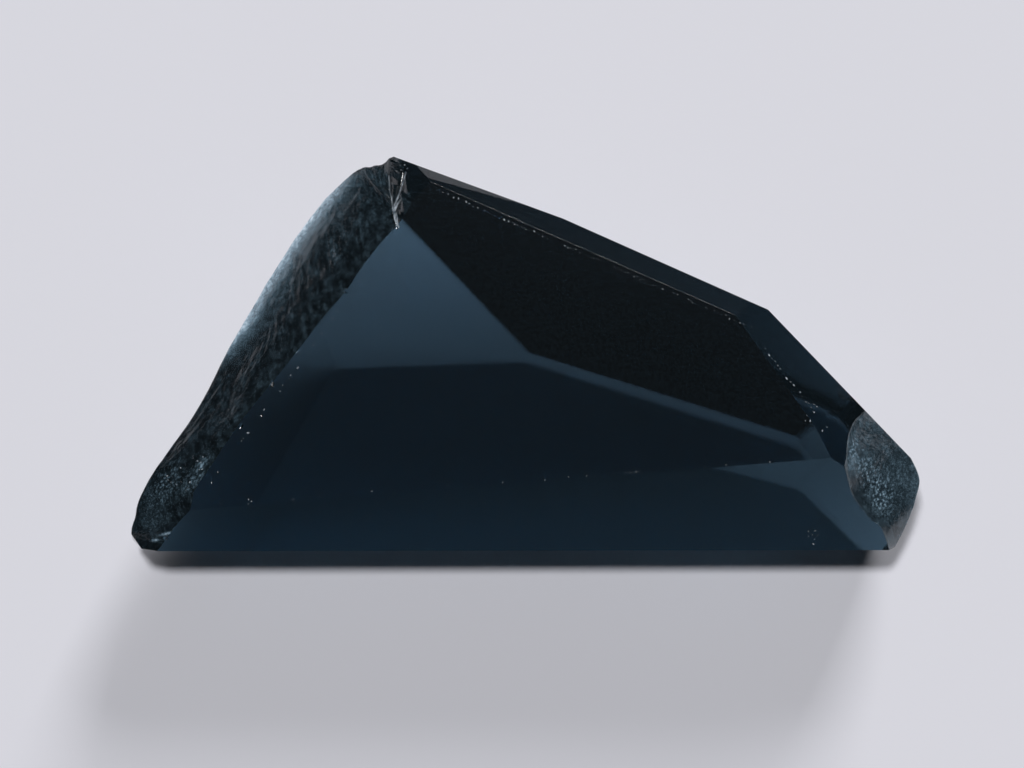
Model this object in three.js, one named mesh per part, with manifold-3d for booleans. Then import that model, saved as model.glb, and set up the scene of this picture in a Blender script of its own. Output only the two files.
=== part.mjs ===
// A deep blue topaz preform: a crystal fragment with a flat table and bevels lapped on top, pavilion
// facets below, and both ends left as they broke. Millimetres, +Z up. It lies on one pavilion facet,
// and the origin is on the surface it lies on, under the middle of the stone.
import * as THREE from 'three';
import * as BufferGeometryUtils from 'three/addons/utils/BufferGeometryUtils.js';
import Module from 'manifold-3d';

// ---- driving dimensions -------------------------------------------------------------------------

const BLANK = { length: 24.4, width: 14, height: 16 };

// Each lapped face: the way it looks (turn from +X towards +Y, and tilt from straight up, in degrees)
// and how far its plane lies from the origin.
const LAPPED_FACES = {
  table: { turn: 199.8, tilt: 3.4, reach: 4.82 },
  frontBevel: { turn: 270.5, tilt: 38, reach: 6.115 },
  frontWall: { turn: 270, tilt: 102, reach: 5.08 },
  backBevel: { turn: 69, tilt: 42, reach: 5.96 },
  backGirdleUpper: { turn: 69.9, tilt: 88, reach: 4.15 },
  backGirdleLower: { turn: 66, tilt: 88, reach: 4.12 },
  apexBevel: { turn: 71.9, tilt: 65.7, reach: 5.69 },
  rightBevelUpper: { turn: 33, tilt: 43, reach: 7.93 },
  rightBevelMiddle: { turn: 26.5, tilt: 40, reach: 8.23 },
  rightBevelLower: { turn: 36.7, tilt: 38, reach: 7.47 },
  rightGirdle: { turn: 43.8, tilt: 88, reach: 6.08 },
  leftCorner: { turn: 215, tilt: 84, reach: 12.82 },
  restingFacet: { turn: 0, tilt: 180, reach: 0 },
  backPavilion: { turn: 72.6, tilt: 137.5, reach: -0.065 },
  keelFlat: { turn: 72.6, tilt: 158.7, reach: -0.08 },
  windowPavilion: { turn: 92, tilt: 149.6, reach: -0.11 },
  leftPavilion: { turn: 150, tilt: 146, reach: 2.5 },
  rightPavilion: { turn: 40, tilt: 142, reach: 2.75 },
};
const LAP_SIZE = 60;

// The broken left end runs from the edge of the table (ridge) down to the widest line (rim).
const LEFT_BREAK = {
  ridge: [
    [-11.0, -9.0, 2.2], [-9.75, -4.45, 4.19], [-9.15, -3.2, 4.25], [-7.85, -1.5, 4.36],
    [-6.25, 0.5, 4.49], [-5.2, 1.8, 4.58], [-4.5, 2.8, 4.64], [-3.7, 3.65, 4.7],
    [-3.2, 4.3, 4.74], [-2.75, 4.95, 4.77], [-2.1, 5.9, 4.8],
  ],
  rim: [
    [-12.0, -9.0, 2.0], [-11.55, -5.0, 2.2], [-11.1, -3.7, 2.3], [-9.6, -1.65, 2.45],
    [-8.2, 0.97, 2.6], [-7.25, 2.6, 2.75], [-6.2, 4.1, 3.0], [-5.17, 5.3, 3.45],
    [-4.55, 5.58, 3.8], [-3.8, 5.74, 4.2], [-2.9, 6.25, 4.4],
  ],
  outward: 150,
  bulge: 0.22,
  underhang: 0.1,
  columns: 76,
  hackleDepth: 0.1,
  hackleSpacing: 0.85,
  hackleSlant: -0.41,
  lumpDepth: 0.07,
  lumpSize: 1.1,
  seed: 3,
};
const RIGHT_BREAK = {
  ridge: [
    [8.2, -1.75, 5.25], [8.95, -2.15, 4.85], [9.58, -2.87, 4.6],
    [9.75, -4.25, 4.35], [10.15, -5.4, 3.45], [10.3, -6.3, 2.85],
  ],
  rim: [
    [9.4, -0.95, 3.6], [10.05, -1.76, 3.4], [11.19, -2.82, 2.9],
    [11.58, -3.77, 2.6], [11.3, -4.95, 2.4], [10.45, -6.05, 2.3],
  ],
  outward: 5,
  bulge: 0.18,
  underhang: 0.35,
  columns: 34,
  hackleDepth: 0.05,
  hackleSpacing: 0.7,
  hackleSlant: 0.5,
  lumpDepth: 0.1,
  lumpSize: 0.8,
  seed: 11,
};
const BREAK_ROWS_ON_SLOPE = 9;
const BREAK_ROWS_BELOW_RIM = 6;
const BREAK_OVERRUN = 0.6;
const BREAK_FLOOR = -0.8;
const BREAK_TOOL_DEPTH = 9;

// The glassy chip at the apex: a flat facet with a low wall along its left side, from start to end.
const APEX_CHIP = {
  start: [-3.69, 3.67, 4.7],
  end: [-3.93, 5.34, 4.1],
  facing: { turn: 148, tilt: 29 },
  size: 3,
};

// Small chips knocked out of the lapped edges: place, size and how the chip is turned.
const EDGE_CHIPS = [
  { place: [-2.3, 4.72, 4.73], size: 0.22, turn: 20 },
  { place: [-1.63, 4.43, 4.81], size: 0.16, turn: 75 },
  { place: [0.12, 3.72, 4.91], size: 0.24, turn: 130 },
  { place: [2.05, 2.86, 4.98], size: 0.18, turn: 10 },
  { place: [4.3, 1.88, 5.07], size: 0.26, turn: 200 },
  { place: [6.75, 0.95, 4.75], size: 0.34, turn: 48 },
  { place: [7.5, 0.1, 5.17], size: 0.2, turn: 95 },
  { place: [8.05, -0.85, 5.19], size: 0.3, turn: 250 },
  { place: [8.6, -1.5, 5.17], size: 0.28, turn: 160 },
  { place: [-6.7, -0.25, 4.47], size: 0.3, turn: 30 },
  { place: [-7.3, -1, 4.42], size: 0.26, turn: 100 },
  { place: [-5.15, 1.75, 4.57], size: 0.3, turn: 310 },
  { place: [-3.75, 3.55, 4.7], size: 0.26, turn: 70 },
  { place: [-10.6, -5.6, 3.4], size: 0.36, turn: 15 },
  { place: [10.1, -5.5, 3.4], size: 0.3, turn: 55 },
];

// ---- helpers ------------------------------------------------------------------------------------

const wasm = await Module();
wasm.setup();

function solidFromGeometry(geometry) {
  const bare = geometry.clone();
  bare.deleteAttribute('normal');
  bare.deleteAttribute('uv');
  const merged = BufferGeometryUtils.mergeVertices(bare, 1e-5);
  const mesh = new wasm.Mesh({
    numProp: 3,
    vertProperties: new Float32Array(merged.attributes.position.array),
    triVerts: new Uint32Array(merged.index.array),
  });
  return new wasm.Manifold(mesh);
}

function geometryFromSolid(solid) {
  const mesh = solid.getMesh();
  const geometry = new THREE.BufferGeometry();
  geometry.setAttribute('position', new THREE.BufferAttribute(mesh.vertProperties, 3));
  geometry.setIndex(new THREE.BufferAttribute(mesh.triVerts, 1));
  return geometry;
}

function directionOf(turn, tilt) {
  const turned = THREE.MathUtils.degToRad(turn);
  const tilted = THREE.MathUtils.degToRad(tilt);
  return new THREE.Vector3(
    Math.sin(tilted) * Math.cos(turned),
    Math.sin(tilted) * Math.sin(turned),
    Math.cos(tilted),
  );
}

// A number from -1 to 1 that is always the same for the same grid point.
function hash(i, j, seed) {
  const mixed = Math.sin(i * 127.1 + j * 311.7 + seed * 74.7) * 43758.5453;
  return 2 * (mixed - Math.floor(mixed)) - 1;
}

function smoothNoise(x, y, seed) {
  const i = Math.floor(x);
  const j = Math.floor(y);
  const sx = THREE.MathUtils.smootherstep(x - i, 0, 1);
  const sy = THREE.MathUtils.smootherstep(y - j, 0, 1);
  const low = THREE.MathUtils.lerp(hash(i, j, seed), hash(i + 1, j, seed), sx);
  const high = THREE.MathUtils.lerp(hash(i, j + 1, seed), hash(i + 1, j + 1, seed), sx);
  return THREE.MathUtils.lerp(low, high, sy);
}

// ---- the faces ----------------------------------------------------------------------------------

// The block of crystal that a lap takes away: a box with one side on the plane of the face.
function lapTool({ turn, tilt, reach }) {
  const facing = directionOf(turn, tilt);
  const geometry = new THREE.BoxGeometry(LAP_SIZE, LAP_SIZE, LAP_SIZE);
  const turnTo = new THREE.Quaternion().setFromUnitVectors(new THREE.Vector3(0, 0, 1), facing);
  geometry.applyQuaternion(turnTo);
  const middle = facing.clone().multiplyScalar(reach + LAP_SIZE / 2);
  geometry.translate(middle.x, middle.y, middle.z);
  return solidFromGeometry(geometry);
}

// How far the broken surface stands out at a place on it. Hackle ridges fan down from the ridge and
// fade towards the rim, on top of broad lumps.
function breakRelief(spec, along, down) {
  const phase = (along + spec.hackleSlant * down) / spec.hackleSpacing;
  const wander = 0.35 * smoothNoise(along * 0.9, down * 0.7, spec.seed);
  const hackle = 1 - 2 * Math.abs(smoothNoise(phase + wander, down * 0.25, spec.seed + 1));
  const fade = 1 - 0.6 * THREE.MathUtils.smoothstep(down, 0.8, 2.2);
  const lump = smoothNoise(along / spec.lumpSize, down / spec.lumpSize, spec.seed + 2);
  return fade * (spec.hackleDepth * hackle + spec.lumpDepth * lump);
}

// One line of the broken surface, from above the ridge over the rim and down below the stone.
function breakProfile(spec, ridge, rim, outward, along) {
  const slope = rim.clone().sub(ridge);
  const drop = slope.length();
  const lift = outward.clone().multiplyScalar(0.6).add(new THREE.Vector3(0, 0, 0.8));
  const line = [ridge.clone().addScaledVector(slope, -BREAK_OVERRUN)];
  for (let row = 0; row <= BREAK_ROWS_ON_SLOPE; row += 1) {
    const share = row / BREAK_ROWS_ON_SLOPE;
    const bulge = spec.bulge * Math.sin(Math.PI * Math.pow(share, 1.3));
    const edge = Math.min(1, 4 * share);
    const relief = edge * breakRelief(spec, along, share * drop);
    line.push(ridge.clone().addScaledVector(slope, share).addScaledVector(lift, bulge + relief));
  }
  for (let row = 1; row <= BREAK_ROWS_BELOW_RIM; row += 1) {
    const share = row / BREAK_ROWS_BELOW_RIM;
    const point = rim.clone();
    point.z = THREE.MathUtils.lerp(rim.z, BREAK_FLOOR, share);
    const relief = breakRelief(spec, along, drop + share * 2);
    point.addScaledVector(outward, relief - spec.underhang * share * (rim.z - BREAK_FLOOR));
    line.push(point);
  }
  return line;
}

// The crystal that broke away: a thick sheet with the broken surface as its inner side.
function breakTool(spec) {
  const ridge = new THREE.CatmullRomCurve3(spec.ridge.map((p) => new THREE.Vector3(...p)));
  const rim = new THREE.CatmullRomCurve3(spec.rim.map((p) => new THREE.Vector3(...p)));
  const outward = directionOf(spec.outward, 90);
  const length = ridge.getLength();
  const inner = [];
  for (let column = 0; column <= spec.columns; column += 1) {
    const share = column / spec.columns;
    inner.push(breakProfile(spec, ridge.getPoint(share), rim.getPoint(share), outward, share * length));
  }
  const rows = inner[0].length;
  const points = inner.flat();
  const far = points.map((p) => p.clone().addScaledVector(outward, BREAK_TOOL_DEPTH));
  const all = points.concat(far);
  const index = [];
  const quad = (a, b, c, d) => index.push(a, b, c, a, c, d);
  const at = (column, row, side) => side * points.length + column * rows + row;
  for (let column = 0; column < spec.columns; column += 1) {
    for (let row = 0; row < rows - 1; row += 1) {
      const a = [column, row];
      const b = [column + 1, row];
      const c = [column + 1, row + 1];
      const d = [column, row + 1];
      quad(at(...a, 0), at(...d, 0), at(...c, 0), at(...b, 0));
      quad(at(...a, 1), at(...b, 1), at(...c, 1), at(...d, 1));
    }
    quad(at(column, 0, 0), at(column + 1, 0, 0), at(column + 1, 0, 1), at(column, 0, 1));
    const low = rows - 1;
    quad(at(column, low, 0), at(column, low, 1), at(column + 1, low, 1), at(column + 1, low, 0));
  }
  for (let row = 0; row < rows - 1; row += 1) {
    const end = spec.columns;
    quad(at(0, row, 0), at(0, row, 1), at(0, row + 1, 1), at(0, row + 1, 0));
    quad(at(end, row, 0), at(end, row + 1, 0), at(end, row + 1, 1), at(end, row, 1));
  }
  const geometry = new THREE.BufferGeometry();
  geometry.setAttribute('position', new THREE.Float32BufferAttribute(all.flatMap((p) => p.toArray()), 3));
  geometry.setIndex(index);
  return solidFromGeometry(geometry);
}

function chipTool({ place, size, turn }) {
  const geometry = new THREE.OctahedronGeometry(size);
  geometry.scale(1.5, 0.8, 0.7);
  geometry.rotateX(THREE.MathUtils.degToRad(turn));
  geometry.rotateZ(THREE.MathUtils.degToRad(turn));
  geometry.translate(...place);
  return solidFromGeometry(geometry);
}

function apexChipTool({ start, end, facing, size }) {
  const from = new THREE.Vector3(...start);
  const up = directionOf(facing.turn, facing.tilt);
  const across = new THREE.Vector3(...end).sub(from).cross(up).normalize();
  const wall = up.clone().cross(across);
  const geometry = new THREE.BoxGeometry(size, size, size);
  geometry.translate(size / 2, size / 2, size / 2);
  geometry.applyMatrix4(new THREE.Matrix4().makeBasis(across, wall, up).setPosition(from));
  return solidFromGeometry(geometry);
}

// ---- the stone ----------------------------------------------------------------------------------

function buildPreform() {
  const blank = new THREE.BoxGeometry(BLANK.length, BLANK.width, BLANK.height);
  let stone = solidFromGeometry(blank);
  const tools = [
    ...Object.values(LAPPED_FACES).map(lapTool),
    breakTool(LEFT_BREAK),
    breakTool(RIGHT_BREAK),
    apexChipTool(APEX_CHIP),
    ...EDGE_CHIPS.map(chipTool),
  ];
  for (const tool of tools) {
    stone = stone.subtract(tool);
  }
  const geometry = geometryFromSolid(stone);
  geometry.computeBoundingBox();
  const middle = geometry.boundingBox.getCenter(new THREE.Vector3());
  geometry.translate(-middle.x, -middle.y, 0);
  geometry.computeVertexNormals();
  return geometry;
}

const topaz = new THREE.MeshStandardMaterial({
  name: 'blue topaz, lapped',
  color: 0x1b2a3a,
  roughness: 0.18,
  metalness: 0,
});

const preform = new THREE.Mesh(buildPreform(), topaz);
preform.name = 'topaz_preform';

const group = new THREE.Group();
group.name = 'blue_topaz_preform';
group.add(preform);

export default group;
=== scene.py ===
"""A deep blue topaz preform: a crystal fragment with lapped faces, two broken ends and small chips.

The stone is worked as a cutter works it. A block is lapped flat face by face, its ends are broken
away with a hackled surface, and its edges are nicked. It is worked in millimetres, then brought to
metres and fitted to the box of the frame's own stone.
"""

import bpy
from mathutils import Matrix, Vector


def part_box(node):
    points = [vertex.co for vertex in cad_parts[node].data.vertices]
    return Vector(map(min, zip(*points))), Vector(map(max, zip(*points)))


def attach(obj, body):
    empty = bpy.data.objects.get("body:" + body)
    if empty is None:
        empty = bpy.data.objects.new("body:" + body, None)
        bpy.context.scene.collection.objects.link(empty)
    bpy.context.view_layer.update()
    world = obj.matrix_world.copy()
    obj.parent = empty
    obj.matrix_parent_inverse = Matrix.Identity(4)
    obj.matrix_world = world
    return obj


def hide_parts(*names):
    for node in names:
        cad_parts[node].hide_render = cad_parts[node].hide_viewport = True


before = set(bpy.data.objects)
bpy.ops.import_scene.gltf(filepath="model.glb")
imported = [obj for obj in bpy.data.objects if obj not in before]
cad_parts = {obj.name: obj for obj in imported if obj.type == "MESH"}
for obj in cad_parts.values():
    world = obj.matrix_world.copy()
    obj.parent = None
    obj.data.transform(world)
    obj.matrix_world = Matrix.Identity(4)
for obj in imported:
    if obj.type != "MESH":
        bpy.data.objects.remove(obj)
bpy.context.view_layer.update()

import math
import random

import bpy
from bpy.props import FloatProperty, FloatVectorProperty, PointerProperty
from bpy.types import Operator, Panel, PropertyGroup
from mathutils import Matrix, Vector, noise
from mathutils.kdtree import KDTree

bl_info = {
    "name": "Topaz Preform",
    "version": (1, 0, 0),
    "blender": (4, 5, 0),
    "location": "View3D > Sidebar > Topaz",
    "description": "Builds a broken, partly lapped blue topaz and the paper that it lies on",
    "category": "Object",
}

MM = 0.001
NODE = "topaz_preform"
BODY = "root"

# ---- driving dimensions, in millimetres and degrees ---------------------------------------------

# The block that the stone is lapped from. Cuts merge corners closer than the first reach, and the
# finished block merges those closer than the second.
BLANK = (24.4, 14.0, 16.0)
CUT_REACH = 1e-5
CORNER_REACH = 1e-4

# Each lapped face: where it looks (turn from +X towards +Y, and tilt from straight up), how far its
# plane lies from the origin, and how coarse its lap was, from 0 for the finest to 1 for a raw
# break. The back rim is a narrow facet beside the tip, which tapers out along the back edge.
LAPPED_FACES = {
    "table": (199.8, 3.4, 4.82, 0.0),
    "front bevel": (270.5, 38, 6.115, 0.05),
    "front wall": (270, 102, 5.08, 0.2),
    "back bevel": (69, 42, 5.96, 0.05),
    "back girdle, upper": (69.9, 88, 4.15, 0.2),
    "back girdle, lower": (66, 88, 4.12, 0.2),
    "back rim": (70.2, 49, 5.936, 0.5),
    "apex bevel": (71.9, 65.7, 5.69, 0.1),
    "right bevel, upper": (33, 43, 7.93, 0.1),
    "right bevel, middle": (26.5, 40, 8.23, 0.1),
    "right bevel, lower": (36.7, 38, 7.47, 0.1),
    "right girdle": (43.8, 88, 6.08, 0.2),
    "left corner": (215, 84, 12.82, 0.3),
    "resting facet": (0, 180, 0, 0.15),
    "back pavilion": (72.6, 137.5, -0.065, 0.1),
    "keel flat": (72.6, 158.7, -0.08, 0.45),
    "window pavilion": (92, 149.6, -0.11, 0.15),
    "left pavilion": (150, 146, 2.5, 0.15),
    "right pavilion": (40, 142, 2.75, 0.15),
}

# A face is flat, and not a rounded edge, when its normal is this like a lapped face's.
FLAT_LIKENESS = 0.9995
# The lower facets, and the rounded edges between them, have a normal with a lower Z than this.
LOWER_NORMAL = -0.5

# A broken end runs from its ridge, at the edge of the table, down to its rim, the widest line.
#   outward        the way the end looks, as a turn
#   shoulder       how far out, and how far down, the round between ridge and rim swells, as shares
#                  of the way, at even steps from the ridge's start to its end
#   lean           how far the tool leans back over the stone for each millimetre above the ridge
#   underhang      how far the surface draws back in for each millimetre below the rim
#   columns        how finely the surface is divided along the ridge
#   hackle         the fine steps of a break: their depth and spacing
#   hackles_...    the shares of the ridge between which they set in, and then die out
#   slant          how far the hackles drift along for each millimetre down
#   lump, grain    the depth and size of the broad swells, and of the finest relief
LEFT_BREAK = {
    "ridge": [
        (-11.5, -6.6, 2.6), (-10.75, -5.75, 3.3), (-10.2, -5.05, 3.85), (-9.72, -4.35, 4.2),
        (-9.1, -3.2, 4.25), (-7.85, -1.5, 4.36), (-6.25, 0.5, 4.49), (-5.2, 1.8, 4.58),
        (-4.45, 2.85, 4.64), (-3.76, 3.72, 4.66), (-3.86, 4.25, 4.4), (-3.98, 4.75, 4.18),
        (-4.02, 5.3, 4.0), (-3.95, 6.2, 3.8),
    ],
    "rim": [
        (-11.75, -6.6, 2.5), (-11.62, -5.7, 2.8), (-11.55, -5.2, 3.1), (-11.38, -4.5, 3.25),
        (-10.9, -3.52, 3.3), (-9.6, -1.65, 3.3), (-8.2, 0.97, 2.95), (-7.25, 2.6, 2.75),
        (-6.2, 4.1, 2.8), (-5.17, 5.3, 3.1), (-4.9, 5.5, 3.3), (-4.6, 5.56, 3.4), (-4.3, 5.68, 3.5),
        (-3.85, 6.4, 3.6),
    ],
    "outward": 150,
    "shoulder": [
        (0.7, 0.6), (0.65, 0.6), (0.55, 0.5), (0.55, 0.5), (0.65, 0.5),
        (0.72, 0.5), (0.72, 0.5), (0.66, 0.52), (0.6, 0.55),
    ],
    "lean": 1.4,
    "underhang": 0.1,
    "columns": 300,
    "hackle": (0.012, 0.22),
    "hackles_set_in": (0.3, 0.5),
    "hackles_die_out": (0.58, 0.7),
    "slant": -0.75,
    "lump": (0.05, 0.9),
    "grain": (0.008, 0.16),
    "seed": 3,
}
RIGHT_BREAK = {
    "ridge": [
        (10.6, -0.9, 3.1), (9.98, -1.7, 3.85), (9.65, -2.0, 4.215), (9.45, -2.35, 4.495),
        (9.36, -2.75, 4.715), (9.32, -3.2, 4.905), (9.36, -3.7, 4.775), (9.52, -4.2, 4.385),
        (9.8, -4.6, 4.07), (10.1, -4.95, 3.795), (10.45, -5.25, 3.55), (10.8, -6.2, 2.8),
    ],
    "rim": [
        (10.75, -0.95, 2.9), (10.14, -1.86, 3.7), (10.45, -2.15, 3.59), (10.72, -2.42, 3.49),
        (11.0, -2.72, 3.39), (11.22, -3.0, 3.33), (11.55, -3.77, 3.22), (11.42, -4.4, 3.15),
        (11.2, -5.05, 2.95), (10.6, -6.3, 2.6),
    ],
    "outward": 5,
    "shoulder": [(0.5, 0.52), (0.5, 0.51), (0.5, 0.5), (0.52, 0.46), (0.58, 0.48)],
    "lean": 0.5,
    "underhang": 0.35,
    "columns": 150,
    "hackle": (0.006, 0.3),
    "hackles_set_in": (0.0, 0.1),
    "hackles_die_out": (0.9, 1.0),
    "slant": 0.5,
    "lump": (0.03, 0.9),
    "grain": (0.006, 0.17),
    "seed": 11,
}
# The rows of a break's tool start this reach above the ridge and end on the floor. They pass the
# ridge at the overrun's share of the way, and the rim at its own. The tool is this deep, outwards.
BREAK_ROWS = 90
BREAK_REACH = 4.0
BREAK_OVERRUN = 0.12
BREAK_RIM_SHARE = 0.76
BREAK_FLOOR = -0.8
BREAK_TOOL_DEPTH = 9.0
# The ridge is measured in this many steps.
RIDGE_STEPS = 50

# Frost is air in the crushed skin of a break. Each broken end has:
#   even      the frost that is everywhere on it
#   mottle    the strength and size of its mottles
#   streak    the strength, width, length and turn of its streaks
#   painted_glow  a pale band painted along its rim as a highlight: its strength, width, and where
#   it lies in Y
LEFT_FROST_AND_GLOW = {
    "even": 0.009,
    "mottle": (0.032, 0.22),
    "streak": (0.07, 0.06, 0.55, 102),
    # The pale band along the rim is a painted highlight, not frost.
    "painted_glow": (0.7, 0.18, 0.2, 5.0),
}
RIGHT_FROST_AND_GLOW = {
    "even": 0.04,
    "mottle": (0.05, 0.3),
    "streak": (0.08, 0.06, 0.3, 80),
    # The pale band along the rim is a painted highlight, not frost.
    "painted_glow": (0.1, 0.12, -9, -3.6),
}
# The painted highlight along the rim fades below the rim, between these heights.
PAINTED_GLOW_HEIGHTS = (0.8, 2.0)
# The rim is measured from this many places along it.
RIM_SPOTS = 1500

# Patches with more frost: middle, half length, half width, turn, strength, and how much of it
# breaks up into specks.
FROST_PATCHES = [
    ((9.5, -3.35), 0.32, 0.17, 75, 0.11, 0.3),
    ((9.55, -2.8), 0.4, 0.14, 80, 0.09, 0.8),
    ((10.0, -3.6), 0.7, 0.3, 118, 0.13, 1.0),
    ((10.35, -4.3), 0.55, 0.3, 100, 0.13, 1.0),
    ((10.9, -3.9), 0.6, 0.5, 90, 0.05, 0.9),
    ((-9.7, -3.8), 0.5, 0.16, 50, 0.09, 0.8),
    ((-9.5, -3.35), 0.3, 0.08, 45, 0.14, 0.8),
    ((-10.5, -3.9), 0.7, 0.3, 60, 0.06, 1.0),
    ((-10.51, -5.36), 0.2, 0.035, 14, 0.6, 0.2),
    ((-10.86, -5.56), 0.1, 0.03, 5, 0.6, 0.2),
    ((-10.28, -5.52), 0.22, 0.03, 4, 0.5, 0.3),
    ((-10.9, -4.9), 0.6, 0.4, 70, 0.05, 0.5),
    ((-4.7, 3.9), 0.8, 0.45, 60, 0.015, 0.9),
    ((-5.6, 2.9), 0.35, 0.12, 110, 0.05, 0.7),
]
SPECK_SIZE = 0.055

# The lap leaves a thin haze on every flat face, and a coarser grind on the rounded edges.
LAP_HAZE = 0.0075
EDGE_COARSENESS = 0.5

# The front bevel has a stronger haze than the other flat faces: its amount at the left and at the
# right end of the blank.
BEVEL_HAZE = (0.019, 0.034)

# The frost of the rounded keel, which comes in from the first X and is full at the second.
KEEL_FROST = (0.06, -4.0, 9.0)

# The edges between the lower facets are rounded over this width on each side. Every other edge
# between faces that differ by at least the least angle is only worn.
KEEL_ROUND = 0.3
KEEL_STEPS = 6
WEAR_STEPS = 2
LEAST_EDGE_ANGLE = 2

# The glassy chip at the apex: its flat facet runs through the start and the end of its upper edge.
APEX_CHIP = {
    "start": (-3.75, 3.82, 4.7), "end": (-2.84, 4.98, 4.75), "turn": 142, "tilt": 29, "size": 6.0}

# Larger chips knocked out of the edges: place, size and how the chip is turned.
EDGE_CHIPS = [
    ((6.85, 0.82, 5.02), 0.26, 48), ((7.0, 0.62, 5.06), 0.16, 100),
    ((8.62, -1.95, 5.2), 0.2, 160), ((-6.62, -0.05, 4.47), 0.18, 30),
    ((-7.4, -0.95, 4.42), 0.2, 100), ((-5.25, 1.75, 4.57), 0.16, 310),
    ((-8.3, -2.2, 4.35), 0.16, 60), ((-3.75, 3.62, 4.7), 0.12, 70),
    ((-10.55, -5.5, 3.5), 0.16, 15),
]
# A chip's ball is squashed to these shares of its size.
CHIP_STRETCH = (0.75, 0.4, 0.35)

# Runs of fine nicks along the lapped edges: from, to, how many, the smallest and largest, and the
# share of them that is bruised white.
NICK_RUNS = [
    ((-2.6, 4.7), (0.4, 3.38), 40, 0.025, 0.07, 0.9),
    ((0.4, 3.38), (6.6, 0.65), 70, 0.02, 0.05, 0.8),
    ((6.9, 0.1), (8.75, -2.2), 50, 0.03, 0.09, 0.9),
    ((-9.5, -4.3), (-3.75, 3.5), 60, 0.03, 0.1, 0.3),
    ((-9.4, -4.5), (8.9, -3.1), 30, 0.02, 0.05, 0.7),
]
# Clusters of nicks: middle, radius, and the rest as above.
NICK_CLUSTERS = [
    ((8.35, -1.8), 0.35, 20, 0.03, 0.08, 1.0),
    ((8.7, -2.15), 0.25, 12, 0.03, 0.08, 1.0),
    ((8.45, -5.45), 0.25, 16, 0.05, 0.11, 1.0),
    ((-10.2, -3.9), 0.5, 12, 0.025, 0.06, 1.0),
    ((-9.55, -3.25), 0.25, 10, 0.025, 0.06, 1.0),
    ((-8.1, -4.48), 0.15, 7, 0.03, 0.06, 1.0),
    ((-6.75, -4.42), 0.12, 4, 0.025, 0.05, 1.0),
    ((-3.6, 5.35), 0.2, 8, 0.025, 0.05, 1.0),
    ((-3.72, 3.55), 0.12, 8, 0.02, 0.04, 1.0),
]
NICK_SEED = 5
# A nick lies up to this far beside its run, and its middle this share of its size above the face.
NICK_SCATTER = 0.03
NICK_RISE = 0.2

# The cleavage crack at the apex: points along each of its branches, with the half width there.
CRACKS = [
    [((-4.0, 5.12), 0.012), ((-3.97, 4.75), 0.025), ((-3.9, 4.42), 0.02), ((-3.86, 4.1), 0.035)],
    [((-3.5, 5.22), 0.03), ((-3.6, 4.86), 0.02), ((-3.72, 4.52), 0.035), ((-3.86, 4.2), 0.03)],
    [((-3.62, 4.45), 0.015), ((-3.74, 4.3), 0.04), ((-3.84, 4.1), 0.06), ((-3.78, 3.84), 0.07),
     ((-3.7, 3.6), 0.03)],
]
CRACK_DEPTH = 0.09
# Each wedge of the crack is longer than its stretch by this factor, so that they overlap.
CRACK_OVERLAP = 1.06

# The cuts leave corners closer together than half a micrometre, which are merged.
WELD_REACH = 0.0005

# The faces that each kind of cut leaves carry its mark until they are finished, and each kind has
# its own coarseness.
BREAK_MARK, CHIP_MARK, BRUISE_MARK = "mark break", "mark chip", "mark bruise"
MARK_COARSENESS = {BREAK_MARK: 0.6, CHIP_MARK: 0.5, BRUISE_MARK: 1.0}

# Higher than anything on the stone, to look down from.
ABOVE = 20
# A stone with fewer faces than this has lost its breaks.
FEWEST_FACES = 1000

# Topaz has an index between 1.61 and 1.63.
TOPAZ_IOR = 1.62

# ---- the stage, in metres and degrees -----------------------------------------------------------

# The paper lies just under the stone, so that the two never share a surface.
PAPER_DEPTH = 0.02 * MM
PAPER_SIDES = 96
# Where each lamp hangs, seen from the point that both aim at, as a turn and a tilt.
AIM = (0, 0, 3 * MM)
LAMP_PLACE = (106, 12)
WINDOW_PLACE = (71, 66)
# The camera looks straight down on this place. Its lens and sensor are in millimetres.
CAMERA_PLACE = (-0.385 * MM, -0.873 * MM)
CAMERA_LENS = 240
SENSOR_WIDTH = 36
CLIP_START = 0.01


# ---- small helpers ------------------------------------------------------------------------------

def linear_from_hex(code):
    """The linear colour of an sRGB hex value such as "#8899AA"."""
    shares = [int(code[place:place + 2], 16) / 255 for place in (1, 3, 5)]
    return tuple(
        share / 12.92 if share <= 0.04045 else ((share + 0.055) / 1.055) ** 2.4 for share in shares)


def direction_of(turn, tilt):
    """The unit vector at a turn from +X towards +Y and a tilt from straight up, in degrees."""
    turned, tilted = math.radians(turn), math.radians(tilt)
    return Vector((
        math.sin(tilted) * math.cos(turned),
        math.sin(tilted) * math.sin(turned),
        math.cos(tilted),
    ))


def deselect_all():
    """Leaves edit mode, if it is on, and deselects everything."""
    if bpy.context.object and bpy.context.object.mode != "OBJECT":
        bpy.ops.object.mode_set(mode="OBJECT")
    bpy.ops.object.select_all(action="DESELECT")


def make_active(piece):
    """Selects one piece alone and makes it the active one."""
    deselect_all()
    piece.select_set(True)
    bpy.context.view_layer.objects.active = piece


def curve_point(points, share):
    """The point at a share from 0 to 1 of a smooth curve through the given points."""
    spans = len(points) - 1
    place = min(max(share, 0.0), 1.0) * spans
    span = min(int(place), spans - 1)
    t = place - span
    b, c = Vector(points[span]), Vector(points[span + 1])
    a = Vector(points[span - 1]) if span > 0 else 2 * b - c
    d = Vector(points[span + 2]) if span + 2 <= spans else 2 * c - b
    return 0.5 * (
        2 * b + (c - a) * t + (2 * a - 5 * b + 4 * c - d) * t ** 2 + (3 * (b - c) + d - a) * t ** 3)


def smooth_step(low, high, value):
    """0 below the low value, 1 above the high one, and smooth between."""
    share = min(max((value - low) / (high - low), 0.0), 1.0)
    return share * share * (3 - 2 * share)


# ---- shaping the stone --------------------------------------------------------------------------

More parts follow.
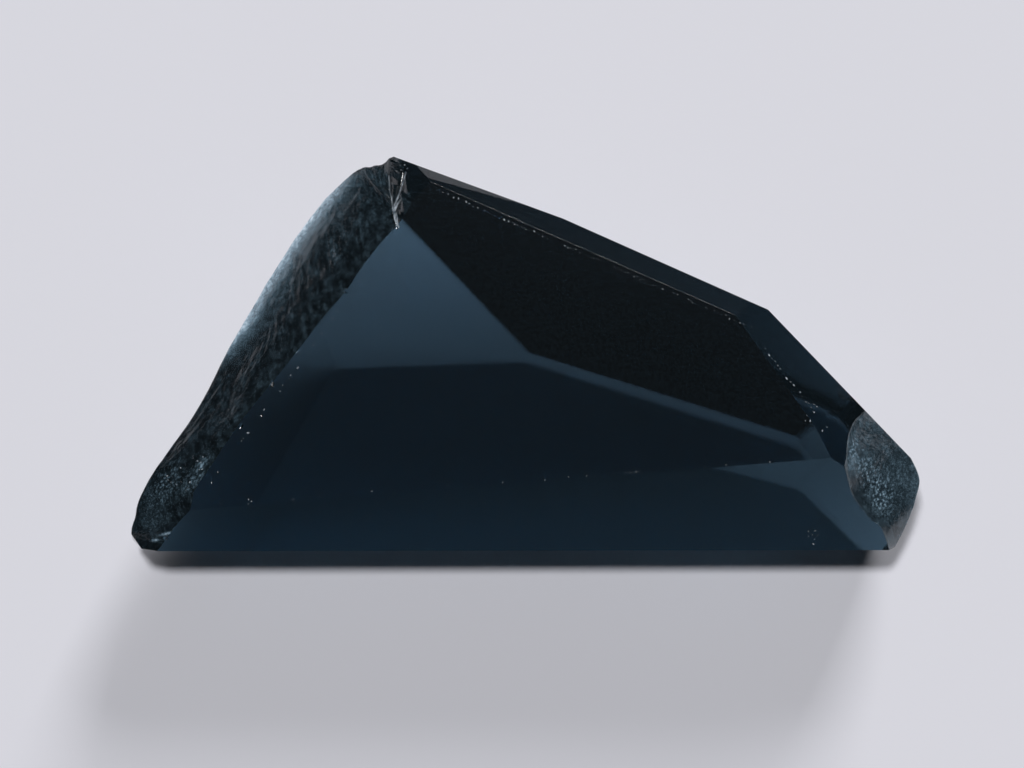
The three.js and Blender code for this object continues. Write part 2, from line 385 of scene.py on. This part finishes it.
def lapped_block():
    """A block of crystal lapped flat along every face's plane."""
    deselect_all()
    bpy.ops.mesh.primitive_cube_add(size=1, scale=BLANK)
    block = bpy.context.object
    bpy.ops.object.transform_apply(location=True, rotation=True, scale=True)
    bpy.ops.object.mode_set(mode="EDIT")
    for turn, tilt, reach, _ in LAPPED_FACES.values():
        facing = direction_of(turn, tilt)
        bpy.ops.mesh.select_all(action="SELECT")
        bpy.ops.mesh.bisect(
            plane_co=facing * reach, plane_no=facing, use_fill=True, clear_outer=True,
            threshold=CUT_REACH)
    bpy.ops.mesh.select_all(action="SELECT")
    bpy.ops.mesh.remove_doubles(threshold=CORNER_REACH)
    bpy.ops.mesh.normals_make_consistent(inside=False)
    bpy.ops.object.mode_set(mode="OBJECT")
    return block


def wear_edges(piece, width):
    """Rounds every lapped edge a little, as handling does."""
    make_active(piece)
    bpy.ops.object.modifier_add(type="BEVEL")
    wear = piece.modifiers[-1]
    wear.width = width
    wear.segments = WEAR_STEPS
    wear.limit_method = "ANGLE"
    wear.angle_limit = math.radians(LEAST_EDGE_ANGLE)
    wear.use_clamp_overlap = True
    bpy.ops.object.modifier_apply(modifier=wear.name)


def round_keel(piece):
    """Rounds the edges between the lower facets broadly, as they were ground by hand."""
    make_active(piece)
    mesh = piece.data
    lower = [set(face.edge_keys) for face in mesh.polygons if face.normal.z < LOWER_NORMAL]
    picked = [sum(edge.key in keys for keys in lower) > 1 for edge in mesh.edges]
    mesh.vertices.foreach_set("select", [False] * len(mesh.vertices))
    mesh.polygons.foreach_set("select", [False] * len(mesh.polygons))
    mesh.edges.foreach_set("select", picked)
    bpy.ops.object.mode_set(mode="EDIT")
    bpy.ops.mesh.select_mode(type="EDGE")
    bpy.ops.mesh.bevel(offset=KEEL_ROUND, segments=KEEL_STEPS, affect="EDGES", clamp_overlap=True)
    bpy.ops.object.mode_set(mode="OBJECT")


def ridge_length(spec):
    """The length of a broken end's ridge."""
    places = [curve_point(spec["ridge"], step / RIDGE_STEPS) for step in range(RIDGE_STEPS + 1)]
    return sum((b - a).length for a, b in zip(places, places[1:]))


def break_relief(spec, length, share, down):
    """How far a broken surface stands out, at a share of its ridge and a distance down from it."""
    along = share * length
    hackle_depth, hackle_spacing = spec["hackle"]
    lump_depth, lump_size = spec["lump"]
    grain_depth, grain_size = spec["grain"]
    seed = spec["seed"]
    # Coarse and fine hackles are sharp crests where the noise passes through zero. They wander a
    # little from their slant, and soften lower down.
    wander = 0.3 * noise.noise(Vector((along * 0.9, down * 0.7, seed)))
    across = (along + spec["slant"] * down + wander) / hackle_spacing
    coarse = 1 - 2 * abs(noise.noise(Vector((across, down * 0.5, seed + 1))))
    fine = 1 - 2 * abs(noise.noise(Vector((across * 2.3, down * 1.1, seed + 2))))
    fade = smooth_step(*spec["hackles_set_in"], share)
    fade *= 1 - smooth_step(*spec["hackles_die_out"], share)
    fade *= 1 - 0.6 * smooth_step(0.7, 2.0, down)
    lump = noise.noise(Vector((along / lump_size, down / lump_size, seed + 3)))
    grain = noise.fractal(Vector((along / grain_size, down / grain_size, seed + 4)), 1.0, 2.0, 2)
    return fade * hackle_depth * (coarse + 0.4 * fine) + lump_depth * lump + grain_depth * grain


def break_point(spec, length, along, down):
    """A point of the broken surface, at shares along the end and down from above its ridge."""
    ridge = curve_point(spec["ridge"], along)
    rim = curve_point(spec["rim"], along)
    outward = direction_of(spec["outward"], 90)
    out, sink = curve_point(spec["shoulder"], along)
    shoulder = Vector((
        ridge.x + (rim.x - ridge.x) * out,
        ridge.y + (rim.y - ridge.y) * out,
        ridge.z + (rim.z - ridge.z) * sink,
    ))
    on_slope = (down - BREAK_OVERRUN) / (BREAK_RIM_SHARE - BREAK_OVERRUN)
    drop = (rim - ridge).length
    if on_slope < 0:
        above = 1 - down / BREAK_OVERRUN
        return ridge + (Vector((0, 0, 1)) - spec["lean"] * outward) * (BREAK_REACH * above)
    relief = break_relief(spec, length, along, on_slope * drop)
    if on_slope <= 1:
        t = on_slope
        point = ridge * (1 - t) ** 2 + shoulder * (2 * t * (1 - t)) + rim * t ** 2
        # The relief points upwards at the ridge and outwards at the rim. It is low at the ridge.
        heading = (outward * (0.35 + 0.65 * t) + Vector((0, 0, 1 - 0.8 * t))).normalized()
        return point + heading * relief * min(1, 0.25 + 6 * t)
    below = (down - BREAK_RIM_SHARE) / (1 - BREAK_RIM_SHARE)
    depth = below * (rim.z - BREAK_FLOOR)
    relief = break_relief(spec, length, along, drop + depth)
    return rim - Vector((0, 0, depth)) + outward * (relief - spec["underhang"] * below * depth)


def break_tool(spec):
    """The crystal that broke away at one end, with the broken surface as its inner side."""
    length = ridge_length(spec)
    outward = direction_of(spec["outward"], 90)
    deselect_all()
    bpy.ops.mesh.primitive_grid_add(
        x_subdivisions=spec["columns"], y_subdivisions=BREAK_ROWS, size=2)
    tool = bpy.context.object
    for vertex in tool.data.vertices:
        vertex.co = break_point(spec, length, (vertex.co.x + 1) / 2, (vertex.co.y + 1) / 2)
    bpy.ops.object.mode_set(mode="EDIT")
    bpy.ops.mesh.select_all(action="SELECT")
    bpy.ops.mesh.extrude_region_move(TRANSFORM_OT_translate={"value": outward * BREAK_TOOL_DEPTH})
    bpy.ops.mesh.select_all(action="SELECT")
    bpy.ops.mesh.quads_convert_to_tris()
    bpy.ops.mesh.normals_make_consistent(inside=False)
    bpy.ops.object.mode_set(mode="OBJECT")
    return tool


def apex_chip_tool():
    """The box of crystal that flaked off at the apex."""
    middle = (Vector(APEX_CHIP["start"]) + Vector(APEX_CHIP["end"])) / 2
    up = direction_of(APEX_CHIP["turn"], APEX_CHIP["tilt"])
    size = APEX_CHIP["size"]
    place = up.to_track_quat("Z", "Y").to_matrix().to_4x4()
    place.translation = middle + up * (size / 2)
    deselect_all()
    bpy.ops.mesh.primitive_cube_add(size=size)
    tool = bpy.context.object
    tool.matrix_world = place
    bpy.ops.object.transform_apply(location=True, rotation=True, scale=True)
    return tool


def joined(tools):
    """The tools as one object."""
    deselect_all()
    for tool in tools:
        tool.select_set(True)
    bpy.context.view_layer.objects.active = tools[0]
    bpy.ops.object.join()
    return bpy.context.object


def chip_tool(place, size, turn):
    """One conchoidal chip: a small stretched ball with few facets."""
    deselect_all()
    bpy.ops.mesh.primitive_ico_sphere_add(subdivisions=1, radius=size)
    tool = bpy.context.object
    turned = math.radians(turn)
    tool.matrix_world = (
        Matrix.Translation(place) @ Matrix.Rotation(turned, 4, "Z")
        @ Matrix.Rotation(turned, 4, "X") @ Matrix.Diagonal((*CHIP_STRETCH, 1)))
    bpy.ops.object.transform_apply(location=True, rotation=True, scale=True)
    return tool


def surface_height(piece, x, y):
    """The height of the stone's upper surface at a place, or None beside the stone."""
    hit, point, _, _ = piece.ray_cast(Vector((x, y, ABOVE)), Vector((0, 0, -1)))
    return point.z if hit else None


def nick_tools(piece):
    """Fine nicks along the lapped edges, each at a place of its own on the surface."""
    draw = random.Random(NICK_SEED)
    spots = []
    for start, end, count, smallest, largest, bruised in NICK_RUNS:
        for _ in range(count):
            share = draw.random()
            x = start[0] + (end[0] - start[0]) * share + draw.uniform(-NICK_SCATTER, NICK_SCATTER)
            y = start[1] + (end[1] - start[1]) * share + draw.uniform(-NICK_SCATTER, NICK_SCATTER)
            spots.append((x, y, smallest, largest, bruised))
    for middle, radius, count, smallest, largest, bruised in NICK_CLUSTERS:
        for _ in range(count):
            around = draw.uniform(0, math.tau)
            out = radius * draw.random()
            x, y = middle[0] + out * math.cos(around), middle[1] + out * math.sin(around)
            spots.append((x, y, smallest, largest, bruised))
    glassy, bruises = [], []
    taken = [(place[0], place[1], size) for place, size, _ in EDGE_CHIPS]
    for x, y, smallest, largest, bruised in spots:
        size = smallest + (largest - smallest) * draw.random() ** 2
        turn = draw.uniform(0, 360)
        kind = bruises if draw.random() < bruised else glassy
        height = surface_height(piece, x, y)
        clear = all(math.hypot(x - other[0], y - other[1]) > size + other[2] for other in taken)
        if height is not None and clear:
            taken.append((x, y, size))
            kind.append(chip_tool((x, y, height + NICK_RISE * size), size, turn))
    return glassy, bruises


def crack_tools(piece):
    """Thin wedges that open the crack, one between each two points of its branches."""
    tools = []
    for branch in CRACKS:
        spots = [
            (Vector((*place, surface_height(piece, *place))), width) for place, width in branch]
        for (low, near), (high, far) in zip(spots, spots[1:]):
            along = high - low
            deselect_all()
            bpy.ops.mesh.primitive_cone_add(
                vertices=4, radius1=near, radius2=far, depth=along.length * CRACK_OVERLAP)
            tool = bpy.context.object
            upright = Matrix.Diagonal((1, CRACK_DEPTH / max(near, far), 1, 1))
            turn = along.to_track_quat("Z", "Y").to_matrix().to_4x4()
            tool.matrix_world = Matrix.Translation((low + high) / 2) @ turn @ upright
            bpy.ops.object.transform_apply(location=True, rotation=True, scale=True)
            tools.append(tool)
    return tools


def cut_away(piece, tool, mark, overlapping=False):
    """Takes the tool's shape out of the piece. The new faces get the marking material."""
    tool.data.materials.clear()
    tool.data.materials.append(mark)
    make_active(piece)
    bpy.ops.object.modifier_add(type="BOOLEAN")
    cut = piece.modifiers[-1]
    cut.operation = "DIFFERENCE"
    cut.solver = "EXACT"
    cut.material_mode = "TRANSFER"
    cut.use_self = overlapping
    cut.object = tool
    bpy.ops.object.modifier_apply(modifier=cut.name)
    bpy.data.objects.remove(tool)


def weld(piece):
    """Merges corners that the cuts left too close together, so that the mesh is closed."""
    make_active(piece)
    bpy.ops.object.mode_set(mode="EDIT")
    bpy.ops.mesh.select_mode(type="VERT")
    bpy.ops.mesh.select_all(action="SELECT")
    bpy.ops.mesh.remove_doubles(threshold=WELD_REACH)
    bpy.ops.object.mode_set(mode="OBJECT")


# ---- materials ----------------------------------------------------------------------------------

def add_node(tree, kind, settings=None, links=None):
    """Adds a node, sets its properties and inputs, and links its inputs to other nodes' outputs."""
    node = tree.nodes.new(kind)
    for name, value in (settings or {}).items():
        if isinstance(name, str) and hasattr(node, name):
            setattr(node, name, value)
        else:
            node.inputs[name].default_value = value
    for name, output in (links or {}).items():
        tree.links.new(output, node.inputs[name])
    return node


def new_material(name):
    """An empty material and its node tree."""
    material = bpy.data.materials.new(name)
    material.use_nodes = True
    material.node_tree.nodes.clear()
    return material, material.node_tree


def topaz_material(stone):
    """Blue topaz, lapped but not polished: clear glassy crystal that swallows red most."""
    material, tree = new_material("blue_topaz_lapped")
    place = add_node(tree, "ShaderNodeTexCoord").outputs["Object"]
    coarse = add_node(tree, "ShaderNodeAttribute", {"attribute_name": "coarseness"}).outputs["Fac"]
    # A lap leaves lines along the length of the stone: 20 to a millimetre across, 2 along. The real
    # grit is finer still, and wouldn't show.
    stretched = add_node(
        tree, "ShaderNodeMapping", {"Scale": (2 / MM, 20 / MM, 20 / MM)}, {"Vector": place})
    lines = add_node(
        tree, "ShaderNodeTexNoise", {"Scale": 1.0, "Detail": 2.0}, {"Vector": stretched.outputs[0]})
    # A break has a fine sugary grain, 12 to a millimetre.
    grain = add_node(
        tree, "ShaderNodeTexNoise", {"Scale": 12 / MM, "Detail": 3.0}, {"Vector": place})
    share = add_node(
        tree, "ShaderNodeMath", {"operation": "MULTIPLY", 1: stone.break_bump}, {0: coarse})
    lapped = add_node(
        tree, "ShaderNodeBump", {"Strength": stone.lap_bump, "Distance": 0.01 * MM},
        {"Height": lines.outputs["Fac"]})
    bumped = add_node(
        tree, "ShaderNodeBump", {"Distance": 0.05 * MM},
        {"Height": grain.outputs["Fac"], "Strength": share.outputs[0],
         "Normal": lapped.outputs[0]})
    rough = add_node(
        tree, "ShaderNodeMapRange",
        {"To Min": stone.lap_roughness, "To Max": stone.break_roughness}, {"Value": coarse})
    # The frost of a break scatters light. It is grainy, and grows paler as it gets thicker.
    # The frost attribute also carries the pale band painted along the rims of the breaks as a
    # highlight.
    frost = add_node(tree, "ShaderNodeAttribute", {"attribute_name": "frost"}).outputs["Fac"]
    grainy = add_node(
        tree, "ShaderNodeMapRange",
        {"From Min": 0.35, "From Max": 0.65, "To Min": 0.65, "To Max": 1.35},
        {"Value": grain.outputs["Fac"]})
    white = add_node(
        tree, "ShaderNodeMath", {"operation": "MULTIPLY", "use_clamp": True},
        {0: frost, 1: grainy.outputs[0]})
    clear = add_node(
        tree, "ShaderNodeMath", {"operation": "SUBTRACT", "use_clamp": True, 0: 1.0},
        {1: white.outputs[0]})
    tone = add_node(tree, "ShaderNodeValToRGB", None, {"Fac": white.outputs[0]})
    tone.color_ramp.elements[0].color = (*stone.frost_deep, 1)
    tone.color_ramp.elements[1].color = (*stone.frost_pale, 1)
    glass = add_node(
        tree, "ShaderNodeBsdfPrincipled", {"IOR": TOPAZ_IOR},
        {"Base Color": tone.outputs["Color"], "Roughness": rough.outputs[0],
         "Transmission Weight": clear.outputs[0], "Normal": bumped.outputs[0]})
    tint = add_node(
        tree, "ShaderNodeVolumeAbsorption",
        {"Color": (*stone.tint, 1), "Density": stone.depth_of_colour})
    add_node(
        tree, "ShaderNodeOutputMaterial", None,
        {"Surface": glass.outputs["BSDF"], "Volume": tint.outputs["Volume"]})
    return material


def bruise_material(stone):
    """Bruised topaz: crushed crystal full of air, so it scatters light and looks like frost."""
    material, tree = new_material("bruised_topaz")
    place = add_node(tree, "ShaderNodeTexCoord").outputs["Object"]
    # The crumbs are about a ninth of a millimetre across.
    crumbs = add_node(
        tree, "ShaderNodeTexNoise", {"Scale": 9 / MM, "Detail": 3.0}, {"Vector": place})
    spread = add_node(
        tree, "ShaderNodeMapRange", {"From Min": 0.35, "From Max": 0.7},
        {"Value": crumbs.outputs["Fac"]})
    colour = add_node(
        tree, "ShaderNodeMix",
        {"data_type": "RGBA", "A": (*stone.bruise_dark, 1), "B": (*stone.bruise_pale, 1)},
        {"Factor": spread.outputs[0]})
    frost = add_node(
        tree, "ShaderNodeBsdfPrincipled", {"Roughness": 0.45, "IOR": TOPAZ_IOR},
        {"Base Color": colour.outputs["Result"]})
    add_node(tree, "ShaderNodeOutputMaterial", None, {"Surface": frost.outputs["BSDF"]})
    return material


def paper_material(stage):
    """White office paper under a cool light: matt, with a faint mottle of its fibres."""
    material, tree = new_material("office_paper")
    place = add_node(tree, "ShaderNodeTexCoord").outputs["Object"]
    # The mottle is about 0.4 mm across.
    fibres = add_node(
        tree, "ShaderNodeTexNoise", {"Scale": 2.5 / MM, "Detail": 3.0}, {"Vector": place})
    bump = add_node(
        tree, "ShaderNodeBump", {"Strength": 0.05, "Distance": 0.02 * MM},
        {"Height": fibres.outputs["Fac"]})
    paper = add_node(
        tree, "ShaderNodeBsdfPrincipled",
        {"Base Color": (*stage.paper, 1), "Roughness": 0.9, "Specular IOR Level": 0.1},
        {"Normal": bump.outputs[0]})
    add_node(tree, "ShaderNodeOutputMaterial", None, {"Surface": paper.outputs["BSDF"]})
    return material


# ---- finishing the stone ------------------------------------------------------------------------

def rim_finder(spec):
    """Finds how far a place lies, seen from above, from the rim of a broken end."""
    finder = KDTree(RIM_SPOTS)
    for spot in range(RIM_SPOTS):
        place = curve_point(spec["rim"], spot / (RIM_SPOTS - 1))
        finder.insert((place.x, place.y, 0), spot)
    finder.balance()
    return finder


def frost_and_painted_glow_at(point, rim, frost_spec):
    """How much a point of a broken end scatters light, from 0 for clear to 1 for white, with a
    painted highlight along its rim.
    """
    mottle, mottle_size = frost_spec["mottle"]
    streak, across_size, along_size, turn = frost_spec["streak"]
    strength, width, low, high = frost_spec["painted_glow"]
    along = direction_of(turn, 90)
    across = direction_of(turn + 90, 90)
    patchy = noise.fractal(point / mottle_size, 1.0, 2.0, 3)
    streaky = noise.noise(
        Vector((point.dot(across) / across_size, point.dot(along) / along_size, 0)))
    frost = frost_spec["even"] + mottle * max(0, patchy + 0.15) + streak * max(0, streaky) ** 2
    # The painted highlight is palest at the rim, and fades at both of its ends and below the rim.
    # It stands in for light caught by the steep, thin rim, and is added to the frost as painted
    # light.
    edge = rim.find((point.x, point.y, 0))[2]
    painted_glow_gate = smooth_step(low - 0.8, low + 0.8, point.y)
    painted_glow_gate *= smooth_step(-high - 0.5, 0.5 - high, -point.y) * smooth_step(*PAINTED_GLOW_HEIGHTS, point.z)
    frost += strength * painted_glow_gate * math.exp(-edge / width) * (1 + 0.5 * patchy)
    for middle, half_length, half_width, turn, strength, speckled in FROST_PATCHES:
        away = Vector((point.x - middle[0], point.y - middle[1], 0))
        far = away.dot(direction_of(turn, 90)) / half_length
        wide = away.dot(direction_of(turn + 90, 90)) / half_width
        if far * far + wide * wide < 4:
            specks = 2.5 * smooth_step(0.1, 0.45, noise.noise(point / SPECK_SIZE))
            thick = strength * math.exp(-far * far - wide * wide)
            frost += thick * (1 - speckled + speckled * specks)
    return min(frost, 1)


def bevel_haze_at(point):
    """The haze of the front bevel, which grows from one end of the blank to the other."""
    share = point.x / BLANK[0] + 0.5
    return BEVEL_HAZE[0] + (BEVEL_HAZE[1] - BEVEL_HAZE[0]) * share


def keel_frost_at(point):
    """The haze and frost of the rounded keel."""
    most, start, full = KEEL_FROST
    return LAP_HAZE + most * smooth_step(start, full, point.x)


def add_attribute(mesh, name, domain, values):
    """Stores one number for each face or corner, for a material to read."""
    mesh.attributes.new(name, "FLOAT", domain).data.foreach_set("value", values)


def finish_faces(piece, topaz, bruise):
    """Gives each face its coarseness, frost, material, and flat or smooth shading."""
    mesh = piece.data
    lapped = [(direction_of(turn, tilt), coarse) for turn, tilt, _, coarse in LAPPED_FACES.values()]
    front = direction_of(*LAPPED_FACES["front bevel"][:2])
    names = [slot.material.name if slot.material else "" for slot in piece.material_slots]
    ends = ((rim_finder(LEFT_BREAK), LEFT_FROST_AND_GLOW), (rim_finder(RIGHT_BREAK), RIGHT_FROST_AND_GLOW))
    coarseness, bruised, smooth = [], [], []
    frost = [LAP_HAZE] * len(mesh.loops)
    found = {}
    for face in mesh.polygons:
        mark = names[face.material_index]
        frosting = None
        if mark in MARK_COARSENESS:
            coarseness.append(MARK_COARSENESS[mark])
        else:
            likeness, coarse = max((facing.dot(face.normal), coarse) for facing, coarse in lapped)
            flat = likeness > FLAT_LIKENESS
            coarseness.append(coarse if flat else EDGE_COARSENESS)
            if face.normal.dot(front) > FLAT_LIKENESS:
                frosting = bevel_haze_at
            elif not flat and face.normal.z < LOWER_NORMAL:
                frosting = keel_frost_at
        bruised.append(mark == BRUISE_MARK)
        smooth.append(mark == BREAK_MARK)
        for loop in face.loop_indices:
            vertex = mesh.loops[loop].vertex_index
            if mark == BREAK_MARK:
                if vertex not in found:
                    end = ends[face.center.x >= 0]
                    found[vertex] = frost_and_painted_glow_at(mesh.vertices[vertex].co, *end)
                frost[loop] = found[vertex]
            elif frosting:
                frost[loop] = frosting(mesh.vertices[vertex].co)
    mesh.materials.clear()
    mesh.materials.append(topaz)
    mesh.materials.append(bruise)
    add_attribute(mesh, "coarseness", "FACE", coarseness)
    # The frost attribute includes the painted highlight along the rims of the breaks.
    add_attribute(mesh, "frost", "CORNER", frost)
    mesh.polygons.foreach_set("material_index", [int(pale) for pale in bruised])
    mesh.polygons.foreach_set("use_smooth", smooth)
    mesh.update()


def fit_to_frame(piece):
    """Brings the stone to metres and to the place and size of the frame's own stone."""
    low, high = (Vector(corner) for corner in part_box(NODE))
    corners = [vertex.co for vertex in piece.data.vertices]
    own_low = Vector([min(corner[axis] for corner in corners) for axis in range(3)])
    own_high = Vector([max(corner[axis] for corner in corners) for axis in range(3)])
    scale = [(high[axis] - low[axis]) / (own_high[axis] - own_low[axis]) for axis in range(3)]
    make_active(piece)
    piece.scale = scale
    piece.location = [low[axis] - own_low[axis] * scale[axis] for axis in range(3)]
    bpy.ops.object.transform_apply(location=True, rotation=True, scale=True)


# ---- settings -----------------------------------------------------------------------------------

class TopazStoneSettings(PropertyGroup):
    tint: FloatVectorProperty(
        name="Tint", description="Colour that the crystal lets through",
        default=linear_from_hex("#7E898F"), subtype="COLOR", size=3, min=0, max=1)
    depth_of_colour: FloatProperty(
        name="Depth of colour", description="How fast the crystal swallows light, per metre",
        default=560, min=0)
    frost_deep: FloatVectorProperty(
        name="Frost, thin", description="Colour of a thin frost",
        default=linear_from_hex("#B1E1FF"), subtype="COLOR", size=3, min=0, max=1)
    frost_pale: FloatVectorProperty(
        name="Frost, thick", description="Colour of a thick frost",
        default=linear_from_hex("#DAEBF9"), subtype="COLOR", size=3, min=0, max=1)
    lap_roughness: FloatProperty(
        name="Lap roughness", description="Roughness of the finest lapped face",
        default=0.08, min=0, max=1, subtype="FACTOR")
    break_roughness: FloatProperty(
        name="Break roughness", description="Roughness of a raw break",
        default=0.28, min=0, max=1, subtype="FACTOR")
    lap_bump: FloatProperty(
        name="Lap lines", description="Strength of the fine lines left by the lap",
        default=0.03, min=0, max=1, subtype="FACTOR")
    break_bump: FloatProperty(
        name="Break grain", description="Strength of the sugary grain of a break",
        default=0.12, min=0, max=1, subtype="FACTOR")
    bruise_dark: FloatVectorProperty(
        name="Bruise, dark", description="Darkest tone of the crushed crystal",
        default=linear_from_hex("#3A4854"), subtype="COLOR", size=3, min=0, max=1)
    bruise_pale: FloatVectorProperty(
        name="Bruise, pale", description="Palest tone of the crushed crystal",
        default=linear_from_hex("#C8D0D8"), subtype="COLOR", size=3, min=0, max=1)
    edge_wear: FloatProperty(
        name="Edge wear", description="Width of the worn band along each lapped edge",
        default=0.012 * MM, min=0, unit="LENGTH")


class TopazStageSettings(PropertyGroup):
    paper: FloatVectorProperty(
        name="Paper", description="Colour of the sheet that the stone lies on",
        default=linear_from_hex("#E7E7EF"), subtype="COLOR", size=3, min=0, max=1)
    paper_radius: FloatProperty(
        name="Paper radius", description="Half width of the sheet",
        default=2.5, min=0.1, unit="LENGTH")
    lamp_power: FloatProperty(
        name="Lamp power", description="Power of the soft lamp overhead",
        default=22.5, min=0, unit="POWER")
    lamp_size: FloatProperty(
        name="Lamp size", description="Side of the square lamp",
        default=0.18, min=0.01, unit="LENGTH")
    window_power: FloatProperty(
        name="Window power", description="Power of the low light from behind",
        default=28, min=0, unit="POWER")
    window_size: FloatProperty(
        name="Window size", description="Side of the low light",
        default=0.6, min=0.01, unit="LENGTH")
    lamp_distance: FloatProperty(
        name="Lamp distance", description="From the stone to each lamp",
        default=2.0, min=0.1, unit="LENGTH")
    room_tone: FloatVectorProperty(
        name="Room tone", description="Colour of the even light of the room",
        default=linear_from_hex("#F3F7FF"), subtype="COLOR", size=3, min=0, max=1)
    room_light: FloatProperty(
        name="Room light", description="Strength of the even light of the room",
        default=0.008, min=0)
    camera_height: FloatProperty(
        name="Camera height", description="From the paper to the camera",
        default=0.204, min=0.05, unit="LENGTH")


# ---- operators ----------------------------------------------------------------------------------

class TOPAZ_OT_stone(Operator):
    """Build the stone: lap a block, break its ends away, chip its edges, and fit it to the frame"""

    bl_idname = "topaz.stone"
    bl_label = "Build Stone"

    def execute(self, context):
        stone = context.scene.topaz_stone
        marks = {name: bpy.data.materials.new(name) for name in MARK_COARSENESS}
        piece = lapped_block()
        piece.name = "topaz_stone"
        round_keel(piece)
        wear_edges(piece, stone.edge_wear / MM)
        cut_away(piece, break_tool(LEFT_BREAK), marks[BREAK_MARK])
        cut_away(piece, break_tool(RIGHT_BREAK), marks[BREAK_MARK])
        cut_away(piece, apex_chip_tool(), marks[CHIP_MARK])
        cracks = crack_tools(piece)
        glassy, bruises = nick_tools(piece)
        chips = [chip_tool(*chip) for chip in EDGE_CHIPS] + glassy
        cut_away(piece, joined(chips), marks[CHIP_MARK], overlapping=True)
        cut_away(piece, joined(cracks + bruises), marks[BRUISE_MARK], overlapping=True)
        weld(piece)
        if len(piece.data.polygons) < FEWEST_FACES:
            raise RuntimeError("the stone was lost while it was cut")
        finish_faces(piece, topaz_material(stone), bruise_material(stone))
        for mark in marks.values():
            bpy.data.materials.remove(mark)
        fit_to_frame(piece)
        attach(piece, BODY)
        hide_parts(NODE)
        return {"FINISHED"}


class TOPAZ_OT_stage(Operator):
    """Lay the paper, hang two soft lamps and look straight down on the stone"""

    bl_idname = "topaz.stage"
    bl_label = "Build Stage"

    def execute(self, context):
        stage = context.scene.topaz_stage
        deselect_all()
        bpy.ops.mesh.primitive_circle_add(
            vertices=PAPER_SIDES, radius=stage.paper_radius, fill_type="NGON",
            location=(0, 0, -PAPER_DEPTH))
        paper = context.object
        paper.name = "paper"
        bpy.ops.object.transform_apply(location=True, rotation=True, scale=True)
        paper.data.materials.append(paper_material(stage))

        aim = Vector(AIM)
        for (turn, tilt), power, size in (
                (LAMP_PLACE, stage.lamp_power, stage.lamp_size),
                (WINDOW_PLACE, stage.window_power, stage.window_size)):
            place = direction_of(turn, tilt) * stage.lamp_distance
            deselect_all()
            bpy.ops.object.light_add(type="AREA", location=place)
            lamp = context.object
            lamp.data.energy = power
            lamp.data.size = size
            lamp.rotation_euler = (aim - place).to_track_quat("-Z", "Y").to_euler()

        world = bpy.data.worlds.new("room")
        world.use_nodes = True
        background = world.node_tree.nodes["Background"]
        background.inputs["Color"].default_value = (*stage.room_tone, 1)
        background.inputs["Strength"].default_value = stage.room_light
        context.scene.world = world

        deselect_all()
        bpy.ops.object.camera_add(
            location=(*CAMERA_PLACE, stage.camera_height), rotation=(0, 0, 0))
        camera = context.object
        camera.data.lens = CAMERA_LENS
        camera.data.sensor_width = SENSOR_WIDTH
        camera.data.clip_start = CLIP_START
        context.scene.camera = camera
        context.scene.view_settings.view_transform = "Standard"
        return {"FINISHED"}


class TOPAZ_PT_panel(Panel):
    """Lists what can be built and its settings"""

    bl_idname = "TOPAZ_PT_panel"
    bl_label = "Topaz Preform"
    bl_space_type = "VIEW_3D"
    bl_region_type = "UI"
    bl_category = "Topaz"

    def draw(self, context):
        layout = self.layout
        for settings, operator in (
                (context.scene.topaz_stone, TOPAZ_OT_stone),
                (context.scene.topaz_stage, TOPAZ_OT_stage)):
            layout.operator(operator.bl_idname)
            for name in type(settings).__annotations__:
                layout.prop(settings, name)


CLASSES = (TopazStoneSettings, TopazStageSettings, TOPAZ_OT_stone, TOPAZ_OT_stage, TOPAZ_PT_panel)


def register():
    for kind in CLASSES:
        bpy.utils.register_class(kind)
    bpy.types.Scene.topaz_stone = PointerProperty(type=TopazStoneSettings)
    bpy.types.Scene.topaz_stage = PointerProperty(type=TopazStageSettings)


def unregister():
    del bpy.types.Scene.topaz_stage
    del bpy.types.Scene.topaz_stone
    for kind in reversed(CLASSES):
        bpy.utils.unregister_class(kind)


def main():
    register()
    bpy.ops.topaz.stage()
    bpy.ops.topaz.stone()


if __name__ == "__main__":
    main()
